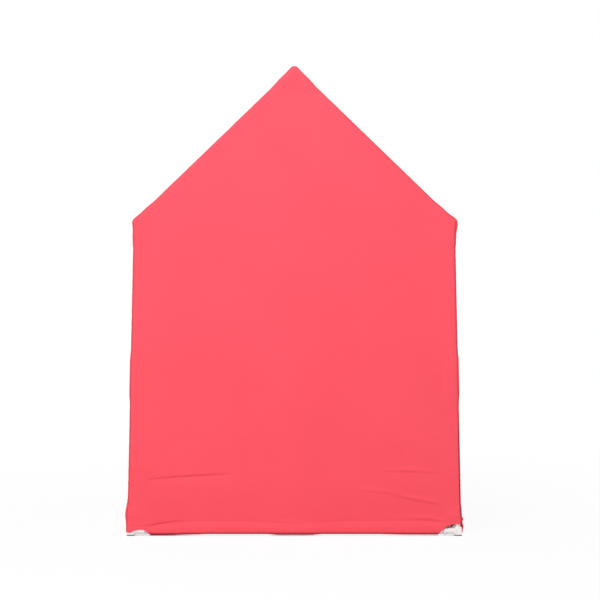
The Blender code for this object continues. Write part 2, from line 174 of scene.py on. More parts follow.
def spaced(*stretches):
    """Positions along a line, given as (end, step) pairs one after another from 0."""
    positions, start = [np.zeros(1)], 0.0
    for end, step in stretches:
        count = max(1, round((end - start) / step))
        positions.append(np.linspace(start, end, count + 1)[1:])
        start = end
    return np.concatenate(positions)


def both_halves(first, second):
    """Positions from minus to plus the half length, each list going inwards from its own end."""
    return np.concatenate([first - first[-1], (second[-1] - second)[::-1][1:]])


# Meshes


def grid_quads(rows, columns, around=False):
    """Faces of a grid of points that is stored row by row, joined end to end where it goes round."""
    last = columns if around else columns - 1
    row, column = np.meshgrid(np.arange(rows - 1), np.arange(last), indexing="ij")
    a = row * columns + column
    b = row * columns + (column + 1) % columns
    return np.stack([a, b, b + columns, a + columns], axis=-1).reshape(-1, 4)


def facing(points, quads, ways):
    """The same faces, turned over where most of them face against the given directions."""
    a, b, c, d = (points[quads[:, i]] for i in range(4))
    normals = np.cross(c - a, d - b)
    return quads if (normals * ways[quads[:, 0]]).sum() > 0 else quads[:, ::-1]


def joined(shells):
    """Points and faces of several shells as one pair of arrays."""
    points, quads, count = [], [], 0
    for shell_points, shell_quads in shells:
        points.append(shell_points.reshape(-1, 3))
        quads.append(shell_quads + count)
        count += len(points[-1])
    return np.concatenate(points), np.concatenate(quads)


def add_piece(
    name, points, quads, material, body="tent", stands_for=None, slot=None, sharp=None, cut=None,
    weld=0.000002,
):
    """Piece with its doubles merged, which rides on a body and stands for the CAD node it replaces.

    Cloth also has a UV map, in metres of cut cloth.
    """
    mesh = bpy.data.meshes.new(name)
    mesh.from_pydata(points, [], quads.tolist())
    if cut is not None:
        corner_points = np.empty(len(mesh.loops), np.int32)
        mesh.loops.foreach_get("vertex_index", corner_points)
        layer = mesh.uv_layers.new(name="cut_cloth")
        layer.uv.foreach_set("vector", cut[corner_points].astype(np.float32).ravel())
    bm = bmesh.new()
    bm.from_mesh(mesh)
    bmesh.ops.remove_doubles(bm, verts=bm.verts, dist=weld)
    bm.to_mesh(mesh)
    bm.free()
    mesh.validate()
    mesh.shade_smooth()
    if sharp:
        mesh.set_sharp_from_angle(angle=math.radians(sharp))
    mesh.materials.append(material)
    piece = bpy.data.objects.new(name, mesh)
    bpy.context.scene.collection.objects.link(piece)
    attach(piece, body)
    if stands_for:
        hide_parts(stands_for)
    return piece


def thicken(piece, thickness, offset):
    solid = piece.modifiers.new("cloth", "SOLIDIFY")
    solid.thickness = thickness
    solid.offset = offset


def rounded(profile, size, steps=3):
    """A profile with each corner cut back by the size and rounded as a parabola through it."""
    profile = np.array(profile, float)
    before = np.roll(profile, 1, axis=0) - profile
    after = np.roll(profile, -1, axis=0) - profile
    t = np.linspace(0, 1, steps)[:, None]
    points = []
    for corner, *ways in zip(profile, before, after):
        start, end = (corner + way * min(size / max(length_of(way), 1e-9), 0.45) for way in ways)
        bent = (1 - t) ** 2 * start + 2 * t * (1 - t) * corner + t ** 2 * end
        points.extend(bent if corner[0] > 0 else [corner])
    return np.array(points)


def turned(name, profile, size, place, direction, material, sides_round=48, closed=True, **more):
    """Turned piece: each radius of its rounded profile goes round the direction, at its height.

    The profile of (radius, height) pairs runs so that faces point outwards, and is a loop
    unless both its ends are on the axis.
    """
    profile = rounded(profile, size)
    if closed:
        profile = np.vstack([profile, profile[:1]])
    direction = unit(direction)
    across = unit(np.cross(np.eye(3)[np.argmin(np.abs(direction))], direction))
    angle = np.linspace(0, 2 * np.pi, sides_round, endpoint=False)[:, None]
    round_way = np.cos(angle) * across + np.sin(angle) * np.cross(direction, across)
    points = place + profile[:, 0, None, None] * round_way + profile[:, 1, None, None] * direction
    quads = grid_quads(len(profile), sides_round, around=True)[:, ::-1]
    add_piece(name, points.reshape(-1, 3), quads, material, **more)


# Moulded corners, as the surface where a blended distance is zero


def smooth_least(first, second, blend):
    """The lesser of two distances, with a fillet where they are within the blend of each other."""
    share = np.clip(0.5 + 0.5 * (second - first) / blend, 0, 1)
    return second * (1 - share) + first * share - blend * share * (1 - share)


def corner_distance(points, arms, block):
    """Distance from a moulded corner: hub, arms and webs blended together, less their bores.

    An arm is a cylinder whose radius rises by the collar's step near its mouth. A web is the
    triangle between two arms, given by its shares along both arms and its distance from their
    plane. The hub is a ball, or a rounded block that stands on the floor.
    """
    block_edge, mouth_wear, arm_fillet, web_fillet = 0.0014, 0.0004, 0.0016, 0.0018
    if block:
        middle = np.array([0, 0, (sleeve_radius - base_z) / 2])
        half = np.array([sleeve_radius, sleeve_radius, (sleeve_radius + base_z) / 2])
        beyond = np.abs(points - middle) - (half - block_edge)
        outside = length_of(np.maximum(beyond, 0))
        total = outside + np.minimum(beyond.max(axis=-1), 0) - block_edge
    else:
        total = length_of(points) - sleeve_radius
    bores = []
    for arm in arms:
        along = points @ arm
        radius = length_of(points - along[..., None] * arm)
        collar = smooth((along - (mouth_distance - collar_length)) / 0.003)
        worn = mouth_wear * smooth((along - (mouth_distance - 2 * mouth_wear)) / (2 * mouth_wear))
        outer = radius - arm_radius - (sleeve_radius - arm_radius) * collar + worn
        outer = np.maximum(np.maximum(outer, along - mouth_distance), -along)
        total = smooth_least(total, outer, arm_fillet)
        bores.append(np.maximum(radius - bore_radius - worn, stop_distance - along))
    for i, first in enumerate(arms):
        for second in arms[i + 1:]:
            lean = first @ second
            to_first, to_second = points @ first, points @ second
            share_first = (to_first - lean * to_second) / (1 - lean ** 2)
            share_second = (to_second - lean * to_first) / (1 - lean ** 2)
            away = np.abs(points @ unit(np.cross(first, second))) - web_half
            slope = (share_first + share_second - web_reach) * math.sqrt((1 + lean) / 2)
            behind = -np.minimum(share_first, share_second) * math.sqrt(1 - lean ** 2)
            web = np.maximum(np.maximum(away, slope), behind)
            total = smooth_least(total, web, web_fillet)
    for bore in bores:
        total = np.maximum(total, -bore)
    return total


def zero_surface(distance, low, high, step):
    """Points and faces of the surface on which a distance is zero.

    Each cell of a grid that the surface crosses gets one point, at the mean of the crossings on
    the cell's edges, and each edge that it crosses gets one face between the four cells round
    it. The points are then moved along the distance's slope onto the surface.
    """
    axes = [np.arange(a, b + step, step) for a, b in zip(low, high)]
    values = distance(np.stack(np.meshgrid(*axes, indexing="ij"), axis=-1))
    inside, ways = values < 0, np.eye(3, dtype=int)
    sums, rings = np.zeros(values.shape + (4,)), []
    for axis in range(3):
        at = np.argwhere(np.diff(inside, axis=axis))
        here, there = values[tuple(at.T)], values[tuple((at + ways[axis]).T)]
        spots = low + step * (at + ways[axis] * (here / (here - there))[:, None])
        a, b = np.delete(ways, axis, axis=0)
        ring = np.stack([at - a - b, at - b, at, at - a])
        for cell in ring:
            sums[tuple(cell.T)] += np.column_stack([spots, np.ones(len(at))])
        turn = inside[tuple(at.T)] == (axis == 1)
        ring[:, turn] = ring[::-1, turn]
        rings.append(ring)
    used = sums[..., 3] > 0
    index = np.cumsum(used).reshape(used.shape) - 1
    points = sums[used][:, :3] / sums[used][:, 3:]
    quads = np.concatenate([index[tuple(np.moveaxis(ring, -1, 0))].T for ring in rings])
    for _ in range(3):
        slope = [distance(points + nudge) - distance(points - nudge) for nudge in ways * step / 8]
        slope = np.stack(slope, axis=-1) / (step / 4)
        steep = np.maximum((slope ** 2).sum(axis=-1), 0.2)
        move = slope * (distance(points) / steep)[:, None]
        points = points - np.clip(move, -step / 2, step / 2)
    return points, quads


def make_corner(name, node, neighbours, material):
    arms = [unit(place - node) for place in neighbours]
    reach = np.array([arm * mouth_distance for arm in arms] + [np.zeros(3)])
    margin = sleeve_radius + 0.0045
    low, high = reach.min(axis=0) - margin, reach.max(axis=0) + margin
    points, quads = zero_surface(
        lambda places: corner_distance(places, arms, name.startswith("foot")), low, high, grid_step
    )
    add_piece(
        f"{name}_moulding", points + node, quads, material, stands_for=name, slot="white_moulding",
        sharp=40, weld=0.00001,
    )


def make_tube(name, start, end, material):
    """Tube of constant bore, with the edges of its cut ends rounded off."""
    length = length_of(end - start)
    profile = [(tube_bore, 0), (tube_radius, 0), (tube_radius, length), (tube_bore, length)]
    turned(
        f"{name}_tube", profile, turned_edge, start, end - start, material, stands_for=name,
        slot="white_tube", sharp=50,
    )


def make_coupler(name, middle, direction, material):
    """Sleeve with a thicker collar at each mouth, a moulded ring round its middle and a stop inside."""
    collar, slope, ring, body = coupler_half - 0.0035, 0.0012, 0.0012, arm_radius + 0.0002
    upper = [
        (sleeve_radius, ring), (body, ring + 0.0010), (body, collar - slope),
        (sleeve_radius, collar), (sleeve_radius, coupler_half), (bore_radius, coupler_half),
        (bore_radius, coupler_stop), (tube_bore, coupler_stop),
    ]
    lower = [(radius, -height) for radius, height in upper[::-1]]
    turned(
        f"{name}_sleeve", lower + upper, turned_edge, middle, direction, material,
        stands_for=name, slot="white_moulding", sharp=50,
    )


def make_frame(moulding, tube_white):
    for name, (node, neighbours) in corners.items():
        make_corner(name, node, neighbours, moulding)
    for name, (start, end, halves) in members.items():
        along = unit(end - start)
        first = start + along * (stop_distance + tube_end_gap)
        last = end - along * (stop_distance + tube_end_gap)
        if halves:
            middle, break_half = (start + end) / 2, along * (coupler_stop + tube_end_gap)
            make_tube(f"{name}_{halves[0]}", first, middle - break_half, tube_white)
            make_tube(f"{name}_{halves[1]}", middle + break_half, last, tube_white)
            make_coupler(f"{name}_coupler", middle, along, moulding)
        else:
            make_tube(name, first, last, tube_white)


# How far the cloth stands off the frame

hard_stretches = []
for node, neighbours in corners.values():
    for place in neighbours:
        hard_stretches.append((node, node + unit(place - node) * mouth_distance))
for start, end, halves in members.values():
    if halves:
        middle, along = (start + end) / 2, unit(end - start)
        hard_stretches.append((middle - along * coupler_half, middle + along * coupler_half))

# Bulges over the corners: middle, direction, height and radius
bulges = [
    (eave[1, -1] + [0, 0, -0.006], unit([1, 0, 0.15]), 0.0050, 0.020),
    (eave[-1, -1] + [0, 0, 0.002], unit([-1, 0, 0.3]), 0.0016, 0.014),
    (eave[1, 1] + [0, 0, -0.008], unit([1, 0, 0.2]), 0.0022, 0.022),
    (eave[-1, 1] + [0, 0, -0.010], unit([-1, 0, 0.2]), 0.0030, 0.022),
    (foot[-1, -1] + [0, 0, 0.050], unit([-1, 0, 0]), 0.0044, 0.030),
    (foot[1, -1] + [0, 0, 0.032], unit([1, 0.2, 0]), 0.0034, 0.0055),
    (foot[1, -1] + [0, 0, 0.012], unit([1, 0.2, 0]), 0.0036, 0.0085),
    (ridge[-1], unit([0, 0, 1]), 0.0006, 0.014),
]


def stand_off(places, ways):
    """Distance of the cloth's outer face from the axes of the frame, for each place and direction.

    It is the bare tube's, plus the rise to a sleeve times the nearness of the sleeves round the
    place, joined as the sixth root of the sum of sixth powers, plus the bulges. Near a foot it
    reaches the square block's side: half its width over the larger level part of the direction.
    """
    near = np.zeros(places.shape[:-1])
    for start, end in hard_stretches:
        near += (1 - smooth((length_of(off_line(places, start, end)) - 0.002) / 0.040)) ** 6
    total = over_tube + (over_sleeve - over_tube) * near ** (1 / 6)
    for middle, way, height, radius in bulges:
        lean = np.clip(ways @ way, 0, 1)
        total += height * lean * bell(length_of(places - middle) / radius)
    level = np.maximum(np.abs(ways[..., 0]), np.abs(ways[..., 1]))
    square = sleeve_radius / np.maximum(level, 0.5) + over_sleeve - sleeve_radius
    for node in foot.values():
        beside = length_of(places[..., :2] - node[:2])
        low = 1 - smooth((places[..., 2] - node[2] - 0.010) / 0.030)
        total += np.maximum(square - total, 0) * low * (1 - smooth((beside - 0.006) / 0.02))
    return total


def pucker(along, shift):
    """Uneven ripple along a seam: a wave whose pace and height change slowly along it."""
    pace = along / 0.0125 + 0.9 * np.sin(along / 0.037 + shift) + 0.6 * np.sin(along / 0.0171)
    height = 0.55 + 0.45 * np.sin(along / 0.061 + 2.3 * shift) * np.sin(along / 0.023 + shift)
    return height * np.sin(pace * 2 * np.pi / 1.15 + shift)


def run_on(points, ways, cut, end, cut_end, rows):
    """A patch whose last row is carried on straight to an end row, in even steps."""
    step = np.linspace(0, 1, rows)[1:, None, None]
    points = np.concatenate([points, points[-1] + step * (end - points[-1])])
    ways = np.concatenate([ways, np.broadcast_to(ways[-1], (rows - 1,) + end.shape)])
    return points, ways, np.concatenate([cut, cut[-1] + step * (cut_end - cut[-1])])


class Panel:
    """One piece of the cover: a plane through the axes of the frame, and the edges it is sewn on.

    A point of it is given by its place in the plane, across and up, and by the direction in
    which the cloth stands off the frame there. Its edges run from node to node, each with the
    normal of the panel beyond it.
    """

    def __init__(self, origin, right, up, normal, nodes, neighbours, relief, underside=None):
        self.origin, self.right, self.up, self.normal = map(np.array, (origin, right, up, normal))
        self.relief, self.underside = relief, underside
        self.sewn = list(zip(nodes, nodes[1:], neighbours))
        self.spots = (np.array(nodes) - self.origin) @ np.stack([self.right, self.up], axis=-1)

    def lifted(self, flat):
        """Direction in space of a direction in the plane."""
        return flat[..., :1] * self.right + flat[..., 1:] * self.up

    def places(self, flat):
        return self.origin + self.lifted(flat)

    def outer(self, flat, ways, with_relief=True):
        """The place plus the direction times the stand-off, with relief, gathers and seam grooves.

        Under a rail the stand-off is that of the hem's underside, as far as it faces down.
        """
        places = self.places(flat)
        ways = np.broadcast_to(ways, places.shape)
        reach = stand_off(places, ways)
        if self.underside is not None:
            slack = np.maximum(self.underside(flat[..., 0]) - reach, -hem_tight)
            reach = reach + slack * smooth(-(ways @ self.up) / 0.9)
        clear, gathers = 1, 0
        for start, end, neighbour in self.sewn:
            lean = unit(self.normal - neighbour)
            beside = length_of(off_line(places, start, end))
            from_seam = beside + over_tube * np.arcsin(np.clip(ways @ lean, -1, 1))
            direction = unit(end - start)
            along = places @ (direction * (1 if direction @ [1, 1, 1.7] > 0 else -1))
            shift = 5.3 * (start + end)[0] + 2.9 * (start + end)[1]
            node = np.minimum(length_of(places - start), length_of(places - end))
            ripple = gather_height * pucker(along, shift) * smooth((node - 0.012) / 0.03)
            gathers = gathers + ripple * np.exp(-np.maximum(from_seam, 0) / gather_reach)
            gathers = gathers - groove_depth * bell(from_seam / groove_width)
            clear = clear * smooth(beside / slack_reach)
        reach = reach + np.maximum(gathers, -seam_sink)
        if with_relief:
            reach = reach + self.relief(flat, clear)
        return places + ways * reach[..., None]

    def face(self, flat):
        return self.outer(flat, self.normal), self.normal, flat

    def rim(self, stations, outward, neighbours):
        """Curl along an edge: each station's direction turned from the normal to the seam.

        The seam is where it first meets the plane midway between this panel and a neighbour.
        """
        outward3 = self.lifted(outward)
        limits = []
        for neighbour in neighbours:
            toward = outward3 @ neighbour
            angle = np.arctan2(1 - self.normal @ neighbour, np.maximum(toward, 1e-6))
            limits.append(np.where(toward > 1e-6, angle, 9))
        limit = np.min(limits, axis=0) - seam_half_gap / over_tube
        turn = rim_shares[:, None, None] * limit[:, None]
        ways = np.cos(turn) * self.normal + np.sin(turn) * outward3
        flat = np.broadcast_to(stations, (len(rim_shares),) + stations.shape)
        return self.outer(flat, ways), ways, flat + over_tube * turn * outward

    def sewn_patches(self, edges):
        """Rims along the sewn edges, and a fan at each corner between two of them."""
        lines = unit(np.diff(self.spots, axis=0))
        outward = pair(lines[:, 1], -lines[:, 0])
        patches = []
        for i, stations in enumerate(edges):
            beyond = self.sewn[i][2]
            patches.append(self.rim(stations, outward[i] + 0 * stations, [beyond]))
            if i or self.sewn[0][0] is self.sewn[-1][1]:
                first, last = (math.atan2(way[1], way[0]) for way in (outward[i - 1], outward[i]))
                last = first + (last - first + math.pi) % (2 * math.pi) - math.pi
                angle = np.linspace(first, last, fan_steps + 1)
                fan = np.broadcast_to(self.spots[i], (fan_steps + 1, 2))
                around = pair(np.cos(angle), np.sin(angle))
                patches.append(self.rim(fan, around, [self.sewn[i - 1][2], beyond]))
        return patches

    def hem(self, across, half_length, cuts, stitch):
        """Wrap of the bottom edge: round the rail, then straight up to the stitching inside.

        The cloth leaves the rail's round where the tangent meets the stitch line. Close to the
        hem's cut ends a station moves along the rail as the cloth goes down.
        """
        first, last = (cut["hem_end"] for cut in cuts)
        across = across[(across > first - half_length - 1e-6) & (across < half_length - last + 1e-6)]
        slant = bell((across + half_length - first) / 0.014) * cuts[0]["slant"]
        slant = slant - bell((half_length - across - last) / 0.014) * cuts[1]["slant"]
        stitch_height = stitch(across)
        stations = pair(across, 0)
        lowest = self.outer(stations, -self.up, with_relief=False)
        radius = length_of(lowest - self.places(stations))
        front = self.outer(pair(across, stitch_height), self.normal)
        inner = (front - self.origin) @ self.normal - 2 * cloth - hem_gap
        reach = np.hypot(inner, stitch_height)
        wrap = 2 * np.pi - np.arctan2(stitch_height, inner) - np.arccos(radius / reach)
        turn = np.linspace(0, 1, 19)[:, None] * wrap
        flat = pair(across + slant * np.sin(np.minimum(turn, np.pi / 2)), 0)
        ways = np.cos(turn)[..., None] * self.normal - np.sin(turn)[..., None] * self.up
        round_part = self.outer(flat, ways)
        cut = pair(flat[..., 0], -over_tube * turn)
        top = self.places(pair(flat[-1, :, 0], stitch_height)) + inner[:, None] * self.normal
        length = length_of(top - round_part[-1])
        return run_on(round_part, ways, cut, top, cut[-1] - pair(0, length), 9)


def paint_seam_shade(mesh, panel):
    """Attribute of painted shade that is 1 on a seam: a bell of the distance round the tube from the
    seam's plane.

    Low on the post at the back right, where the side wall's rim lies in shade, the bell is wider and
    higher, as the photograph shows, and the hem's underside, which lies in its own shadow there, has
    the same painted dark shade.
    """
    points = np.empty(3 * len(mesh.vertices), np.float32)
    mesh.vertices.foreach_get("co", points)
    points = points.reshape(-1, 3).astype(float)
    # Painted shade: the hem's underside in its own shadow, and a dark bell along each seam, wider and
    # darker low on the back right post
    line = 1.2 * smooth((0.0100 - points[:, 2]) / 0.0045)
    low = smooth((0.36 - points[:, 2]) / 0.12) * (points[:, 0] > 0) * (points[:, 1] < 0)
    for start, end, neighbour in panel.sewn:
        off_axis = off_line(points, start, end)
        radius = length_of(off_axis)
        cosine = off_axis @ unit(panel.normal + neighbour) / np.maximum(radius, 1e-9)
        beside = radius * np.arccos(np.clip(cosine, -1, 1))
        seam_shadow = bell(beside / (0.0011 + 0.0013 * low)) * (1 + 0.45 * low)
        line = np.maximum(line, seam_shadow * (radius < 0.02))
    layer = mesh.attributes.new("seam_painted_shade", "FLOAT", "POINT")
    layer.data.foreach_set("value", line.astype(np.float32))


def cover_sheet(part, panel, flat, edges, others, material, size, rests_on, **more):
    """Stretched sheet of a panel: its face, rims, corners and other patches, given a thickness.

    A patch is a grid of points, with their directions and their places on the cut cloth.
    """
    shells, cuts = [], []
    for patch, ways, cut in (panel.face(flat), *panel.sewn_patches(edges), *others):
        ways = np.broadcast_to(ways, patch.shape).reshape(-1, 3)
        shells.append((patch, facing(patch.reshape(-1, 3), grid_quads(*patch.shape[:2]), ways)))
        cuts.append(cut.reshape(-1, 2))
    points, quads = joined(shells)
    piece = add_piece(
        f"{part}_cloth", points, quads, material, stands_for=part, slot="coral_cloth",
        cut=np.concatenate(cuts),
    )
    paint_seam_shade(piece.data, panel)
    thicken(piece, cloth, -1)
    return panel


# Relief of the cover's cloth


def photo_place(pixel_x, pixel_y):
    """Place on the back gable, across and above its bottom rail, of a point in the photograph."""
    middle_x, floor_y, pixel = 292.5, 535.5, 0.002763
    across, up = np.array(pixel_x) - middle_x, floor_y - np.array(pixel_y)
    return np.stack([across, up], -1) * pixel - [0, base_z]


def ridge_line(flat, start, end, height, above, below, bend=0.0):
    """Crease from start to end: a ridge that is broad on one side and steep on the other.

    Its height goes as a bell of the distance from the line over the width on that side, and
    fades in and out along it as the square root of a sine.
    """
    start, end = np.array(start), np.array(end)
    length = length_of(end - start)
    along = (end - start) / length
    share = np.clip((flat - start) @ along / length, 0, 1)
    across = (flat - start) @ np.array([-along[1], along[0]]) - bend * np.sin(np.pi * share)
    width = np.where(across > 0, above, below)
    return height * np.sqrt(np.sin(np.pi * share)) * bell(across / width)


def slow_waves(flat, shift):
    """Sum of three long low waves that cross each other."""
    a, h = flat[..., 0], flat[..., 1]
    return (
        np.sin(a * 9.1 + h * 3.3 + shift)
        + 0.7 * np.sin(a * 4.7 - h * 8.2 + 2.1 * shift)
        + 0.4 * np.sin(a * 17.0 + h * 11.0 - shift)
    )


def above_rail(flat):
    """Share of the slack that a place has above a bottom rail: none on the rail."""
    return smooth(flat[..., 1] / slack_reach)


def from_post(across, half_length):
    """Share of the hollow above the hem that a place has: none at a post, all from 89 mm on."""
    return smooth((half_length - np.abs(across) - 0.004) / 0.085)


def hem_relief(flat, stitch_height, clear, depth):
    """Hollow above the hem: the wall is drawn in at the stitching, which lies in a fine groove."""
    rise = flat[..., 1] - stitch_height
    width = np.where(rise > 0, 0.055, 0.011)
    return -depth * bell(rise / width) * clear - 0.0006 * bell(rise / 0.0017)


# Hem of the photographed gable, in pixels of the photograph: its stitching, and its lowest line,
# which hangs slack at both ends and under the coupler
stitch_x = [130, 141, 152, 167, 188, 238, 271, 296, 317, 353, 427, 445, 455]
stitch_y = [526.4, 526, 524.3, 522.7, 520.9, 520.4, 522.2, 523.3, 521.5, 520.4, 520.4, 521.5, 522]
stitch_points = photo_place(stitch_x, stitch_y)
under_points = photo_place(
    [150, 160, 170, 180, 190, 200, 210, 265, 280, 290, 300, 310, 320, 370, 380, 400, 440],
    [535.3, 535.2, 535.1, 534.7, 534.5, 534.2, 533.8, 533.8, 534.5, 534.7, 534.8, 534.3, 533.6,
     533.8, 534.1, 534.5, 534.6],
)


def back_stitch(across):
    return np.interp(across, stitch_points[:, 0], stitch_points[:, 1])


def back_underside(across):
    return -np.interp(across, under_points[:, 0], under_points[:, 1])


def even_stitch(across):
    return 0.0250 + 0.0006 * np.sin(across * 21) + 0.0004 * np.sin(across * 47 + 1)


# Creases of the photographed gable: both ends in pixels of the photograph, height, width above
# and below, and bow. One with a negative height is a fold that is drawn inwards. The tuck is at
# the ridge, with its widths to the right and to the left.
back_creases = [
    ((143, 479.6), (231, 473.8), -0.00310, 0.0020, 0.0090, 0.0022),
    ((355, 488.6), (398, 493.6), 0.00170, 0.0080, 0.0022, -0.0004),
    ((392, 494.0), (440, 503.8), 0.00270, 0.0080, 0.0022, -0.0006),
    ((378, 470.0), (441, 471.6), 0.00185, 0.0075, 0.0022, 0.0010),
    ((402, 516.6), (446, 520.6), 0.00200, 0.0060, 0.0040, 0.0022),
    ((397, 440.4), (424, 441.8), 0.00110, 0.0055, 0.0022, 0.0),
    ((430, 437.2), (449, 438.8), 0.00110, 0.0055, 0.0022, 0.0),
    ((137, 527.8), (182, 520.2), -0.00240, 0.0020, 0.0080, 0.0020),
    ((296.0, 72.0), (299.0, 160.0), -0.00060, 0.0035, 0.0100, 0.0),
    ((313.0, 92.0), (316.5, 185.0), 0.00050, 0.0110, 0.0050, 0.0),
    ((282.0, 92.0), (279.0, 165.0), 0.00040, 0.0110, 0.0050, 0.0),
    ((338.0, 114.0), (345.0, 200.0), 0.00040, 0.0110, 0.0050, 0.0),
]
apex_tuck = ((294.9, 70.5), (295.3, 80.5), 0.0024, 0.0030, 0.0060)


def back_relief(flat, clear):
    """Creases of the photographed gable over a slight inward bow, and the hollow above its hem."""
    a = flat[..., 0]
    relief = -0.0012 * smooth((base_x - np.abs(a)) / base_x) + 0.0005 * slow_waves(flat, 0.7)
    relief = relief * above_rail(flat)
    for first, last, *shape in back_creases:
        relief = relief + ridge_line(flat, photo_place(*first), photo_place(*last), *shape)
    first, last, *shape = apex_tuck
    tuck = ridge_line(flat, photo_place(*first), photo_place(*last), *shape)
    return relief * clear + tuck + hem_relief(flat, back_stitch(a), from_post(a, base_x), 0.0034)


def wall_relief(s):
    """Long slack waves of a side wall, four low creases and the hollow above its hem."""
    creases = (
        ((-0.44, 0.165), (-0.20, 0.115), 0.0009, 0.013, 0.004, 0.004),
        ((0.16, 0.098), (0.43, 0.150), 0.0008, 0.012, 0.004, -0.003),
        ((-0.43, 0.70), (-0.24, 0.765), 0.0007, 0.012, 0.004, 0.003),
        ((0.27, 0.770), (0.44, 0.715), 0.0007, 0.012, 0.004, 0.003),
    )

    def relief(flat, clear):
        a = flat[..., 0]
        total = -0.0022 * smooth((frame_y - np.abs(a)) / frame_y)
        total = total + 0.0008 * slow_waves(flat, 1.9 + s)
        total = total + sum(ridge_line(flat * [s, 1], *crease) for crease in creases)
        hollow = hem_relief(flat, even_stitch(a), from_post(a, frame_y), 0.0034)
        return total * clear * above_rail(flat) + hollow

    return relief


def roof_relief(s):
    """Roof cloth that sags a little between the rails, with faint cross waves."""

    def relief(flat, clear):
        across = 1 - (flat[..., 0] / frame_y) ** 2
        along = 1 - (2 * flat[..., 1] / roof_length - 1) ** 2
        sag = -0.0065 * np.clip(across, 0, 1) * np.clip(along, 0, 1)
        return (sag + 0.0009 * slow_waves(flat, 3.1 * s)) * clear

    return relief


def front_relief(flat, clear):
    """Slack waves of the doorway's gable, with the hollow above its hem left out under the sill."""
    a = flat[..., 0]
    held = from_post(a, base_x) * smooth((np.abs(a) - 0.205) / 0.06)
    total = 0.0008 * slow_waves(flat, 4.4)
    for crease in (
        ((0.06, 0.83), (0.20, 1.00), 0.0010, 0.014, 0.005, 0.004),
        ((-0.05, 0.84), (-0.17, 0.99), 0.0009, 0.014, 0.005, -0.004),
        ((0.24, 0.10), (0.43, 0.075), 0.0008, 0.012, 0.004, 0.002),
        ((-0.43, 0.090), (-0.25, 0.12), 0.0008, 0.012, 0.004, 0.002),
    ):
        total = total + ridge_line(flat, *crease)
    return total * clear * above_rail(flat) + hem_relief(flat, even_stitch(a), held, 0.0026)


# Cover panels

# Cut-outs at the feet: peak above the floor, its distance from the post, half widths towards the
# post and away from it, fullness, where the hem's round ends, and how much further along the hem
# its cut end is underneath
deep_cut = dict(
    peak=0.033, middle=0.0, near=0.056, far=0.056, fullness=2.4, hem_end=0.0475, slant=0.0095
)
low_cut = dict(
    peak=0.0185, middle=0.026, near=0.0335, far=0.0285, fullness=2.0, hem_end=0.0427, slant=0.013
)
cut_floor = 0.004
low_rows = spaced((0.056, 0.0014), (0.200, 0.0023))


def cut_height(distance, cut):
    """Lower edge of the cloth above the rail's axis: a bow over the foot, none on the hem.

    The bow falls from its peak as the distance from it, as a share of the half width on that
    side, to the power of the fullness.
    """
    beside = distance - cut["middle"]
    share = np.abs(beside) / np.where(beside < 0, cut["near"], cut["far"])
    height = cut_floor + (cut["peak"] - cut_floor) * (1 - share ** cut["fullness"]) - base_z
    return np.where(distance < cut["hem_end"], height, 0)


def lower_edge(across, half_length, cuts):
    first, last = cut_height(half_length + across, cuts[0]), cut_height(half_length - across, cuts[1])
    return np.where(across < 0, first, last)


def hem_columns(half_length, cuts, coarse):
    """Columns from one post to the other, with one exactly where each hem's round ends."""
    fine = 0.0030
    return both_halves(*(
        spaced((cut["hem_end"], fine), (0.075, fine), (half_length, coarse)) for cut in cuts
    ))


def wall_rows(bottom, top, length, step):
    """Heights in a column: close rows up to 0.2 m, then rows spread up to the top, close there."""
    rows = spaced((length - 0.045, step), (length, 0.003))
    low = bottom + (low_rows[-1] - bottom) * (low_rows / low_rows[-1])[:, None]
    high = low_rows[-1] + (top - low_rows[-1]) * (rows / rows[-1])[1:, None]
    return np.concatenate([low, high + 0 * low[:1]])


def gable_panel(e, *reliefs):
    nodes = [foot[1, e], eave[1, e], ridge[e], eave[-1, e], foot[-1, e]]
    neighbours = [side_out[1], roof_out[1], roof_out[-1], side_out[-1]]
    origin = (0, e * frame_y, base_z)
    return Panel(origin, (1, 0, 0), (0, 0, 1), end_out[e], nodes, neighbours, *reliefs)


gable_size = (2 * base_x + seam_allowance, ridge_z + hem_allowance)
gable_area = 2 * base_x * (eave_z - base_z) + eave_x * (ridge_z - eave_z) + 0.08


def make_back_gable(material):
    """Grid of columns that fan from the bottom rail to the rafters, with rims, corners and hem."""
    panel = gable_panel(-1, back_relief, back_underside)
    cuts = [low_cut, deep_cut]
    across = hem_columns(base_x, cuts, 0.0066)
    share = across / base_x
    top = eave_z - base_z + (1 - np.abs(share)) * (ridge_z - eave_z)
    heights = wall_rows(lower_edge(across, base_x, cuts), top, 0.86, 0.0072)
    flat = pair(share * (base_x + (eave_x - base_x) * heights / top), heights)
    middle = int(np.argmin(np.abs(share)))
    edges = [flat[:, -1], flat[-1, middle:][::-1], flat[-1, :middle + 1][::-1], flat[::-1, 0]]
    hem = panel.hem(across, base_x, cuts, back_stitch)
    return cover_sheet(
        "back_gable", panel, flat, edges, [hem], material, gable_size,
        ["back_bottom_rail_coupler"], area=gable_area,
    )


def make_wall(side_name, s, material):
    nodes = [foot[s, 1], eave[s, 1], eave[s, -1], foot[s, -1]]
    panel = Panel(
        (s * base_x, 0, base_z), (0, 1, 0), side_up[s], side_out[s], nodes,
        [end_out[1], roof_out[s], end_out[-1]], wall_relief(s),
    )
    cuts = [low_cut, deep_cut]
    across = hem_columns(frame_y, cuts, 0.0085)
    heights = wall_rows(lower_edge(across, frame_y, cuts), wall_height + 0 * across, 0.64, 0.0085)
    flat = pair(across, heights)
    edges = [flat[:, -1], flat[-1][::-1], flat[::-1, 0]]
    hem = panel.hem(across, frame_y, cuts, even_stitch)
    size = (2 * frame_y + seam_allowance, wall_height + hem_allowance)
    rests_on = [f"{side_name}_bottom_rail_coupler"]
    return cover_sheet(f"{side_name}_wall", panel, flat, edges, [hem], material, size, rests_on)


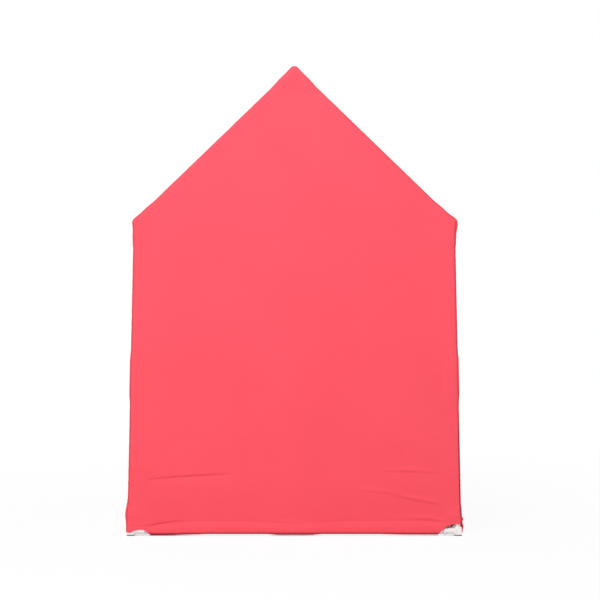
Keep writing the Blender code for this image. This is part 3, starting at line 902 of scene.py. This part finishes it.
def make_roof(side_name, s, material):
    nodes = [eave[s, 1], ridge[1], ridge[-1], eave[s, -1], eave[s, 1]]
    panel = Panel(
        (s * eave_x, 0, eave_z), (0, 1, 0), roof_up[s], roof_out[s], nodes,
        [end_out[1], roof_out[-s], end_out[-1], side_out[s]], roof_relief(s),
    )
    half_across, half_up = (
        spaced((0.045, 0.003), (half, 0.0085)) for half in (frame_y, roof_length / 2)
    )
    heights = both_halves(half_up, half_up) + roof_length / 2
    flat = np.stack(np.meshgrid(both_halves(half_across, half_across), heights), axis=-1)
    edges = [flat[:, -1], flat[-1][::-1], flat[::-1, 0], flat[0]]
    size = (2 * frame_y + seam_allowance, roof_length + seam_allowance)
    rests_on = ["ridge_rail_coupler", f"{side_name}_eave_rail_coupler"]
    cover_sheet(f"{side_name}_roof", panel, flat, edges, [], material, size, rests_on)


def door_outline(angle):
    """Doorway's edge in the gable's plane, seen at each angle from a point inside it.

    The point is in the middle of the doorway. Each ray is cut off at the nearest of the
    doorway's side, its sill and, above the spring line, its arch.
    """
    way = pair(np.cos(angle), np.sin(angle))
    side = door_half / np.maximum(np.abs(way[:, 0]), 1e-9)
    below = door_middle - (door_sill - base_z)
    sill = np.where(way[:, 1] < 0, below / np.maximum(-way[:, 1], 1e-9), 9)
    rise = door_spring - base_z - door_middle
    along = way[:, 1] * rise
    arch = along + np.sqrt(np.maximum(along ** 2 + door_half ** 2 - rise ** 2, 0))
    reach = np.where(side * way[:, 1] > rise, arch, np.minimum(side, sill))
    return [0, door_middle] + way * reach[:, None]


def post_line(start, end):
    """Stations up a post from the cloth's lower edge to the eave, close together at both ends."""
    length = length_of(end - start)
    steps = spaced((0.05, 0.003), (length - 0.04, 0.0085), (length, 0.004)) / length
    return start + steps[:, None] * (end - start)


def door_hem(panel, start, away):
    """Doorway's edge turned back: half a round towards the inside, then flat behind the gable."""
    roll, depth = door_edge_roll, 0.011
    turn = np.linspace(0, np.pi, 8)[:, None, None]
    away3 = panel.lifted(away)
    curl = panel.outer(start, panel.normal) - roll * np.sin(turn) * away3
    curl = curl - roll * (1 - np.cos(turn)) * panel.normal
    ways = np.cos(turn) * panel.normal - np.sin(turn) * away3
    cut = start - roll * turn * away
    return run_on(curl, ways, cut, curl[-1] + depth * away3, cut[-1] - depth * away, 5)


def make_front_gable(material):
    """Rays from the doorway's edge to the gable's outline, with rims, corners, hem and door edge.

    One ray goes through each bottom corner of the doorway.
    """
    panel = gable_panel(1, front_relief)
    cuts = [deep_cut, deep_cut]
    sill_ray = door_half * door_middle / (door_middle - (door_sill - base_z))
    across = np.concatenate([hem_columns(base_x, cuts, 0.007), [-sill_ray, sill_ray]])
    across = np.unique(np.round(across, 7))
    low_edge = pair(across, lower_edge(across, base_x, cuts))
    spots = panel.spots
    rafter = spaced((0.6, 0.0072))[:, None] / 0.6
    stretches = [
        low_edge, post_line(low_edge[-1], spots[1]), spots[1] + rafter * (spots[2] - spots[1]),
        spots[2] + rafter * (spots[3] - spots[2]), post_line(low_edge[0], spots[3])[::-1],
    ]
    loop = np.concatenate([low_edge] + [stretch[1:] for stretch in stretches[1:]])
    ray = loop - [0, door_middle]
    edge = door_outline(np.arctan2(ray[:, 1], ray[:, 0]))
    around = np.roll(edge[:-1], -1, axis=0) - np.roll(edge[:-1], 1, axis=0)
    around = unit(np.vstack([around, around[:1]]))
    away = pair(around[:, 1], -around[:, 0])
    start = edge + away * door_edge_roll
    rows = spaced((0.16, 0.02), (0.60, 0.0185), (0.92, 0.018), (1.0, 0.008))
    flat = start + rows[:, None, None] * (loop - start)
    bounds = np.cumsum([len(stretch) - 1 for stretch in stretches])
    edges = [loop[first:last + 1] for first, last in zip(bounds, bounds[1:])]
    hems = [door_hem(panel, start, away), panel.hem(across, base_x, cuts, even_stitch)]
    door_area = 2 * door_half * (door_spring - door_sill) + math.pi * door_half ** 2 / 2
    cover_sheet(
        "front_gable", panel, flat, edges, hems, material, gable_size,
        ["front_bottom_rail_coupler"], area=gable_area - door_area,
    )
    return panel, start, away


# Stitches

stitch_pitch = 0.0036
stitch_length = 0.0028
thread_radius = 0.00036


def add_stitches(name, paths, normal, material, radius=thread_radius, body="tent"):
    """Rows of thread stitches along paths: short rods whose middles stand up from the cloth.

    Each is a tube of six sides along the path, whose radius goes as the fourth root of one less
    the fourth power of its share, and whose ends dip into the cloth.
    """
    share = np.array([-1, -0.8, -0.35, 0.35, 0.8, 1.0])
    thick = radius * (1 - np.abs(share) ** 4) ** 0.25
    lift = radius * (0.35 - 1.1 * share ** 4)
    angle = np.arange(6)[:, None] * np.pi / 3
    shells = []
    for path in paths:
        steps = length_of(np.diff(path, axis=0))
        run = np.concatenate([[0], np.cumsum(steps)])
        count = int(run[-1] / stitch_pitch)
        centres = (np.arange(count)[:, None] + 0.5) * run[-1] / count
        at = centres + share * stitch_length / 2
        spot = np.stack([np.interp(at, run, path[:, i]) for i in range(3)], axis=-1)
        along = unit(spot[:, -1:] - spot[:, :1]) + 0 * spot
        across = unit(np.cross(normal, along))
        ring = np.cos(angle) * across[:, :, None] + np.sin(angle) * normal
        points = (spot + lift[:, None] * normal)[:, :, None] + thick[:, None, None] * ring
        offsets = np.arange(count)[:, None, None] * len(share) * 6
        quads = grid_quads(len(share), 6, around=True) + offsets
        shells.append((points, quads.reshape(-1, 4)[:, ::-1]))
    points, quads = joined(shells)
    return add_piece(name, points, quads, material, body=body, weld=0.000001)


# Door flaps and their press fasteners

joints = {joint["name"]: joint for joint in frame["joints"]}
flap_reach = 0.199
flap_bottom = 0.054
flap_lift = 0.00325
flap_arch = 0.196
flap_cloth = 0.0011
flap_hem = 0.0088
flap_thread_radius = 0.00034
coil_radius = 0.00095
snap_across = flap_reach * 2 / 3
snap_height = (door_sill + door_spring) / 2


def flap_top(distance, seam_x):
    """Height of a flap's upper edge: the doorway's arch, drawn in by the flap's clearance."""
    across = seam_x - distance
    return door_spring + np.sqrt(np.maximum(flap_arch ** 2 - across ** 2, 0))


def flap_rise(distance, share, s):
    """Height of a folded-back flap's middle off its seam: a ramp, three folds and small ripples.

    The folds go as the fourth power of a sine across the flap, drift sideways a little with
    height, and are about half as deep at the top as at the sill.
    """
    lift = flap_lift * smooth((distance - 0.007) / 0.022)
    held = np.hypot((distance - snap_across) / 0.05, (share - 0.5) / 0.16)
    free = smooth(held - 0.25)
    drift = 0.07 * np.sin(5.2 * share + 1.3 * s) + 0.035 * np.sin(11 * share + 0.6)
    phase = 3 * distance / flap_reach + drift * free * smooth(distance / 0.04)
    depth = 0.0048 * (1 - 0.5 * share) * (0.86 + 0.14 * np.sin(7 * share + 2 * phase + s))
    ripple = 0.0005 * np.sin(distance * 95 + 7 * share) * smooth(distance / 0.03) * free
    return lift + depth * np.sin(np.pi * phase) ** 4 + ripple


def make_flap(side_name, s, cloth_material, thread):
    """Door flap: rows from the sill to the arch of a path that coils round the seam and goes out."""
    seam_x, seam_y, _ = joints[f"{side_name}_door_swing"]["pos_m"]
    seam_x = abs(seam_x)
    coil_turn = np.radians(np.linspace(70, -90, 9))
    coil_x, coil_y = -coil_radius * np.cos(coil_turn), coil_radius * np.sin(coil_turn)
    distance = spaced((flap_reach - 0.016, 0.0024), (flap_reach, 0.0013))[1:]
    share = spaced((0.03, 0.003), (0.95, 0.0085), (1.0, 0.003))[:, None]
    top = flap_top(distance, seam_x)
    height = flap_bottom + (top - flap_bottom) * share
    rise = flap_rise(distance, share, s) - coil_radius * (1 - smooth(distance / 0.008))
    edge = np.minimum(np.minimum(flap_reach - distance, height - flap_bottom), top - height)
    band = 0.00035 * (1 - smooth((edge - flap_hem - 0.0007) / 0.0015))
    rise = rise + band - 0.00035 * bell((edge - flap_hem) / 0.0011)
    coil_height = flap_bottom + (door_spring - flap_bottom) * share
    coil = np.stack(np.broadcast_arrays(coil_x, coil_y, coil_height), axis=-1)
    outer = np.stack(np.broadcast_arrays(distance, rise, height), axis=-1)
    places = [0, seam_y, 0] + np.concatenate([coil, outer], axis=1)
    places[..., 0] = s * (seam_x + places[..., 0])
    points = places.reshape(-1, 3)
    quads = grid_quads(*places.shape[:2])
    quads = facing(points, quads, np.broadcast_to(end_out[1], points.shape))
    piece = add_piece(
        f"{side_name}_door_flap_cloth", points, quads, cloth_material, body=f"{side_name}_door",
        stands_for=f"{side_name}_door_flap", slot="coral_cloth", cut=points[:, ::2],
    )
    thicken(piece, flap_cloth, 0)
    stitching = add_stitches(
        f"{side_name}_door_flap_stitching", flap_stitch_paths(seam_x, seam_y, s), end_out[1],
        thread, flap_thread_radius, f"{side_name}_door",
    )


def flap_stitch_paths(seam_x, seam_y, s):
    """Stitch lines 9 mm inside a flap's bottom, free and arched edges."""
    along = np.linspace(0.012, flap_reach - flap_hem, 120)
    arch = flap_top(along, seam_x)
    scale = 1 / np.sqrt(1 + np.gradient(arch, along) ** 2)
    arch_inner = arch - flap_hem / np.maximum(scale, 0.25)
    low = flap_bottom + flap_hem
    paths = []
    for x, z in (
        (along, np.full_like(along, low)),
        (np.full(160, flap_reach - flap_hem), np.linspace(low, arch_inner[-1], 160)),
        (along[::-1], arch_inner[::-1]),
    ):
        share_up = (z - flap_bottom) / (flap_top(x, seam_x) - flap_bottom)
        y = seam_y + flap_rise(x, share_up, s) + flap_cloth / 2 + 0.0001
        paths.append(np.stack([s * (seam_x + x), y, z], axis=-1))
    return paths


def make_fastener(side_name, s, material):
    """Both halves of a press fastener, turned from the same sizes as the CAD halves."""
    cad_cloth, gap = 0.0015, 0.0003
    plate, radius, neck, knob, knob_height, play = 0.0008, 0.0055, 0.0018, 0.0026, 0.0015, 0.0004
    seam_x = abs(joints[f"{side_name}_door_swing"]["pos_m"][0])
    back = -cad_cloth - 2 * gap - plate
    stud = [
        (0, back), (radius - 0.0005, back), (radius, back + plate), (neck, back + plate), (neck, 0),
        (radius, 0), (radius, plate), (knob - play, plate), (knob, plate + knob_height * 2 / 3),
        (knob - play, plate + knob_height), (0, plate + knob_height),
    ]
    recess, depth = knob + play, knob_height + gap
    inner = depth + plate
    outer = inner + cad_cloth + 2 * gap
    socket = [
        (0, depth), (recess, depth), (recess, 0), (radius, 0), (radius, inner), (neck, inner),
        (neck, outer), (radius, outer), (radius, outer + plate * 0.6),
        (radius - 0.0009, outer + plate), (radius - 0.0022, outer + plate * 0.75),
        (0, outer + plate * 0.75),
    ]
    stud_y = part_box(f"{side_name}_door_stud")[1].y - plate - knob_height
    socket_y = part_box(f"{side_name}_door_socket")[0].y
    for half, profile, y, body in (
        ("stud", stud, stud_y, "tent"), ("socket", socket, socket_y, f"{side_name}_door"),
    ):
        turned(
            f"{side_name}_door_{half}_half", profile, 0.0003,
            np.array([s * (seam_x + snap_across), y, snap_height]), end_out[1], material, 40,
            closed=False, body=body, stands_for=f"{side_name}_door_{half}", slot="coral_fastener",
            sharp=45,
        )


# Materials


class Tree:
    """Nodes of a material or of the surroundings. Inputs are given as values or as other outputs."""

    def __init__(self, owner):
        owner.use_nodes = True
        self.nodes, self.links = owner.node_tree.nodes, owner.node_tree.links

    def fill(self, made, inputs):
        for key, value in inputs.items():
            if isinstance(value, bpy.types.NodeSocket):
                self.links.new(value, made.inputs[key])
            else:
                made.inputs[key].default_value = value

    def add(self, kind, inputs, **settings):
        made = self.nodes.new(f"ShaderNode{kind}")
        for key, value in settings.items():
            setattr(made, key, value)
        self.fill(made, inputs)
        return made.outputs

    def math(self, operation, *terms):
        return self.add("Math", dict(enumerate(terms)), operation=operation)[0]

    def ramp(self, value, low, high, start=0, end=1, kind="LINEAR"):
        """Output that goes from start to end as the value goes from low to high."""
        limits = {"From Min": low, "From Max": high, "To Min": start, "To Max": end}
        return self.add("MapRange", {"Value": value, **limits}, interpolation_type=kind)["Result"]

    def mix(self, share, first, second):
        inputs = {"Factor": share, "A": first, "B": second}
        return self.add("Mix", inputs, data_type="RGBA")["Result"]

    def noise(self, place, scale, detail, dimensions="3D"):
        inputs = {"Vector": place, "Scale": scale, "Detail": detail}
        return self.add("TexNoise", inputs, noise_dimensions=dimensions)["Fac"]

    def bump(self, height, strength, distance):
        inputs = {"Height": height, "Strength": strength, "Distance": distance}
        return self.add("Bump", inputs)["Normal"]

    def most(self, value, *others):
        for other in others:
            value = self.math("MAXIMUM", value, other)
        return value

    def seen(self, *kinds):
        """Output that is 1 for any of the kinds of ray."""
        path = self.add("LightPath", {})
        return self.most(*(path[kind] for kind in kinds))

    def mix_surfaces(self, share, first, second, output):
        mixed = self.add("MixShader", {"Fac": share, 1: first, 2: second})[0]
        self.fill(self.nodes[output], {"Surface": mixed})


def material_base(name):
    """Material with the usual shader, its tree and that shader."""
    material = bpy.data.materials.new(name)
    tree = Tree(material)
    return material, tree, tree.nodes["Principled BSDF"]


def woven_cloth(name, colour, shade):
    """Plain weave: two crossing thread waves of 0.5 mm in the cut cloth, with slubs and mottling."""
    material, tree, shader = material_base(name)
    place = tree.add("UVMap", {}, uv_map="cut_cloth")["UV"]
    split = tree.add("SeparateXYZ", {0: place})
    threads = [
        tree.math("SINE", tree.math("MULTIPLY", split[axis], 2 * math.pi / 0.0010)) for axis in "XY"
    ]
    slubs = []
    for stretch in ((420, 26, 1), (26, 420, 1)):
        stretched = tree.add("Mapping", {"Vector": place, "Scale": stretch})["Vector"]
        slubs.append(tree.noise(stretched, 1, 2, "2D"))
    slub_sum = tree.math("ADD", *slubs)
    mottle = tree.ramp(tree.noise(place, 5.5, 3, "2D"), 0.3, 0.7, 0, 0.45)
    level = tree.math("ADD", tree.ramp(slub_sum, 0.6, 1.4, 0, 0.55), mottle)
    # Painted shade along the seams and under the hem: the seam attribute mixes the colour towards a
    # dark red
    seam = tree.add("Attribute", {}, attribute_name="seam_painted_shade")["Fac"]
    cloth_colour = tree.mix(level, (*shade, 1), (*colour, 1))
    height = tree.math("MULTIPLY_ADD", slub_sum, 0.35, tree.math("MULTIPLY", *threads))
    tree.fill(shader, {
        "Base Color": tree.mix(tree.math("MULTIPLY", seam, 0.60), cloth_colour, painted_shade_colour),
        "Normal": tree.bump(height, 0.35, 0.00008),
        "Roughness": 0.88,
        "Specular IOR Level": 0.22,
        "Sheen Weight": 0.10,
        "Sheen Roughness": 0.45,
        "Sheen Tint": (1.0, 0.72, 0.76, 1),
    })
    return material


def moulded_plastic(name, colour, shade, roughness, grain, contact_shade=0.0):
    """Plastic with a slightly uneven colour and gloss and a fine moulded grain, all by place.

    The lowest 3 mm are darkened by the given share: a painted contact shadow where a foot meets the
    floor.
    """
    material, tree, shader = material_base(name)
    place = tree.add("TexCoord", {})["Object"]
    cloud = tree.noise(place, 46, 4)
    height = tree.add("SeparateXYZ", {0: place})["Z"]
    # Painted contact shadow: the colour goes dark over the lowest 3 mm by the given share
    low = tree.ramp(height, 0.0022, 0.0044, contact_shade, 0, "SMOOTHSTEP")
    paint = tree.mix(tree.ramp(cloud, 0.35, 0.60), (*shade, 1), (*colour, 1))
    tree.fill(shader, {
        "Base Color": tree.mix(low, paint, contact_shadow_colour),
        "Roughness": tree.ramp(cloud, 0, 1, roughness - 0.07, roughness + 0.09),
        "Normal": tree.bump(tree.noise(place, grain, 3), 0.25, 0.00004),
        "IOR": 1.49,
    })
    return material


def white_floor(name):
    """Pale floor that the camera and reflections see as white, wherever it lies open to the sky.

    Its glow is the product of how open the place is, of being outside the tent's own outline and of a
    rise with distance, so that it stays dark under the tent and under the hem: a painted shadow, from
    the ambient occlusion and the outline. Under the tent its colour is also darker, as painted shade.
    Near the tent a part of the plain lit floor is left in, which takes the shadows.
    """
    material, tree, shader = material_base(name)
    under_hem, mask_half = 0.034, 0.012
    open_sky = tree.add("AmbientOcclusion", {"Distance": 0.9}, samples=16)["AO"]
    place = tree.add("TexCoord", {})["Object"]
    split = tree.add("SeparateXYZ", {0: place})
    distance = tree.add("VectorMath", {0: place}, operation="LENGTH")["Value"]
    beyond = tree.most(*(
        tree.math("MULTIPLY_ADD", split[axis], way, -half) for axis, way, half in (
            ("X", 1, base_x), ("X", -1, base_x), ("Y", 1, frame_y), ("Y", -1, frame_y - under_hem),
        )
    ))
    outside = tree.ramp(beyond, -mask_half, mask_half, kind="SMOOTHSTEP")
    share = tree.seen("Is Camera Ray", "Is Glossy Ray", "Is Transmission Ray")
    # The glow is cut where the floor is occluded and inside the tent's outline: painted shadow
    for part in (
        tree.ramp(open_sky, 0.08, 0.30, kind="SMOOTHSTEP"),
        outside,
        tree.ramp(distance, 0.9, 2.6, 0.94, 1, "SMOOTHSTEP"),
    ):
        share = tree.math("MULTIPLY", share, part)
    tree.fill(shader, {
        # Darker colour inside the tent's outline: painted shade under the tent
        "Base Color": tree.mix(outside, (0.42, 0.40, 0.40, 1), (0.80, 0.80, 0.80, 1)),
        "Roughness": 0.9,
        "Specular IOR Level": 0.0,
    })
    glow = tree.add("Emission", {"Color": white, "Strength": 1.0})[0]
    tree.mix_surfaces(share, shader.outputs[0], glow, "Material Output")
    return material


white = (1, 1, 1, 1)
# Dark red of the painted shade along the seams and under the hem
painted_shade_colour = (0.22, 0.012, 0.022, 1)
# Near-black of the painted contact shadow at the feet
contact_shadow_colour = (0.06, 0.055, 0.055, 1)

# Lamps: place, what they point at, power and width
lamps = {
    "key_light": ((-0.75, -2.75, 3.35), (0, 0, 0.80), 104, 1.5),
    "side_light": ((2.8, 1.0, 2.2), (0, 0, 0.7), 26, 2.0),
    "back_light": ((-1.2, 3.0, 2.6), (0, 0, 0.7), 56, 2.0),
}
sky_level = 0.44
floor_half = 30.0
camera_distance = 4.5
sensor_width = 36
view_width = 1.658  # metres across the picture at the photographed gable
view_middle = (0.0157, 0.6524)


def add_to_scene(name, data):
    thing = bpy.data.objects.new(name, data)
    bpy.context.scene.collection.objects.link(thing)
    return thing


def look_along(direction):
    """Angles that point a lamp or camera along a direction with its top upwards."""
    level = math.hypot(direction[0], direction[1])
    return math.atan2(level, -direction[2]), 0, math.atan2(-direction[0], direction[1])


def set_stage():
    """Pale floor, white surroundings, soft lights from the upper left and a straight-on camera."""
    scene = bpy.context.scene
    scene.view_settings.view_transform = "Standard"
    mesh = bpy.data.meshes.new("floor")
    square = np.array([[-1, -1, 0], [1, -1, 0], [1, 1, 0], [-1, 1, 0]])
    mesh.from_pydata(square * floor_half, [], [(0, 1, 2, 3)])
    mesh.materials.append(white_floor("floor_white"))
    add_to_scene("floor", mesh)
    scene.world = bpy.data.worlds.new("surroundings")
    tree = Tree(scene.world)
    sky = tree.nodes["Background"]
    tree.fill(sky, {"Color": white, "Strength": sky_level})
    seen = tree.add("Background", {"Color": white, "Strength": 1.0})[0]
    share = tree.seen("Is Camera Ray", "Is Glossy Ray")
    tree.mix_surfaces(share, sky.outputs[0], seen, "World Output")
    for name, (place, target, power, width) in lamps.items():
        data = bpy.data.lights.new(name, "AREA")
        data.energy = power
        data.size = width
        lamp = add_to_scene(name, data)
        lamp.location = place
        lamp.rotation_euler = look_along(np.array(target) - np.array(place))
    data = bpy.data.cameras.new("camera")
    data.sensor_width = sensor_width
    data.lens = sensor_width * camera_distance / view_width
    camera = add_to_scene("camera", data)
    front_of_gable = -frame_y - over_sleeve
    camera.location = (view_middle[0], front_of_gable - camera_distance, view_middle[1])
    camera.rotation_euler = look_along(end_out[1])
    scene.camera = camera


def make_tent():
    coral = woven_cloth("coral_weave", (0.975, 0.0965, 0.1335), (0.94, 0.087, 0.121))
    # The moulding's last value is the share of painted contact shadow at its lowest 3 mm
    thread, moulding, tube_white, snap = (moulded_plastic(*look) for look in (
        ("coral_thread", (0.93, 0.105, 0.135), (0.84, 0.080, 0.105), 0.6, 900),
        ("white_moulding_grain", (0.93, 0.91, 0.915), (0.895, 0.875, 0.88), 0.42, 700, 0.9),
        ("white_tube_gloss", (0.88, 0.87, 0.86), (0.83, 0.82, 0.81), 0.30, 400),
        ("coral_snap", (0.86, 0.075, 0.105), (0.78, 0.06, 0.09), 0.36, 800),
    ))
    back = make_back_gable(coral)
    front, door_line, door_away = make_front_gable(coral)
    walls = {side_name: make_wall(side_name, s, coral) for side_name, s in sides.items()}
    for side_name, s in sides.items():
        make_roof(side_name, s, coral)
        make_flap(side_name, s, coral, thread)
        make_fastener(side_name, s, snap)
    across, beside = (
        np.linspace(hem_stitch_ends - half, half - hem_stitch_ends, 400) for half in (base_x, frame_y)
    )
    lines = [
        ("back_hem_stitching", back, pair(across, back_stitch(across))),
        ("front_hem_stitching", front, pair(across, even_stitch(across))),
    ]
    for side_name, panel in walls.items():
        lines.append((f"{side_name}_hem_stitching", panel, pair(beside, even_stitch(beside))))
    lines.append(("door_edge_stitching", front, door_line + door_away * door_stitch_inset))
    for name, panel, line in lines:
        add_stitches(name, [panel.outer(line, panel.normal)], panel.normal, thread)
    make_frame(moulding, tube_white)


make_tent()
set_stage()
